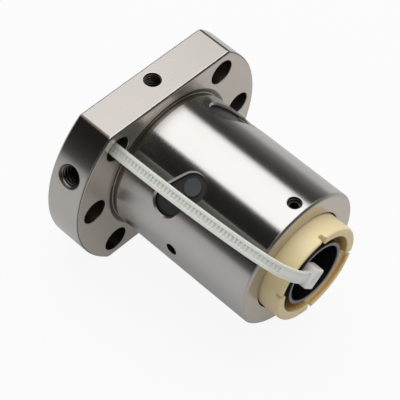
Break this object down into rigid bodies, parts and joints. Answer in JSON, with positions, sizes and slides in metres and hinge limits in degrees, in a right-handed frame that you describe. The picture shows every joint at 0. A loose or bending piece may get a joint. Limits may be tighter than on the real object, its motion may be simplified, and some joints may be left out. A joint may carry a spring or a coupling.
{
  "type": "ball screw nut",
  "caption": "Flanged ball screw nut with a two-flat bolt flange, ground round body, internal ball return and plastic wipers, on its tubular transport arbor.",
  "frame": {"origin": "on the screw axis, in the flange's mounting face", "axes": "+X along the screw axis, out of the front end where the wiper stands out; +Z square to the flat of the flange that has the set-screw hole; +Y makes the frame right-handed"},
  "size_m": [0.0586, 0.058, 0.044],
  "materials": {
    "steel": "ground and turned",
    "ball": "polished",
    "deflector": "moulded",
    "wiper": "moulded",
    "screw": "blackened",
    "arbor": "glossy"
  },
  "bodies": {
    "nut": {"nut_body": "steel", "front_wiper": "wiper", "rear_wiper": "wiper", "front_wiper_screw": "screw", "rear_wiper_screw": "screw", "deflector_1": "deflector", "deflector_2": "deflector", "deflector_3": "deflector", "deflector_4": "deflector", "ball_circuit_1": "ball", "ball_circuit_2": "ball", "ball_circuit_3": "ball", "ball_circuit_4": "ball"},
    "arbor": {"transport_arbor": "arbor"}
  },
  "joints": [
    {"name": "arbor_spin", "type": "hinge", "parent": "nut", "child": "arbor", "pos_m": [0, 0, 0], "axis": [1, 0, 0], "continuous": true}
  ]
}
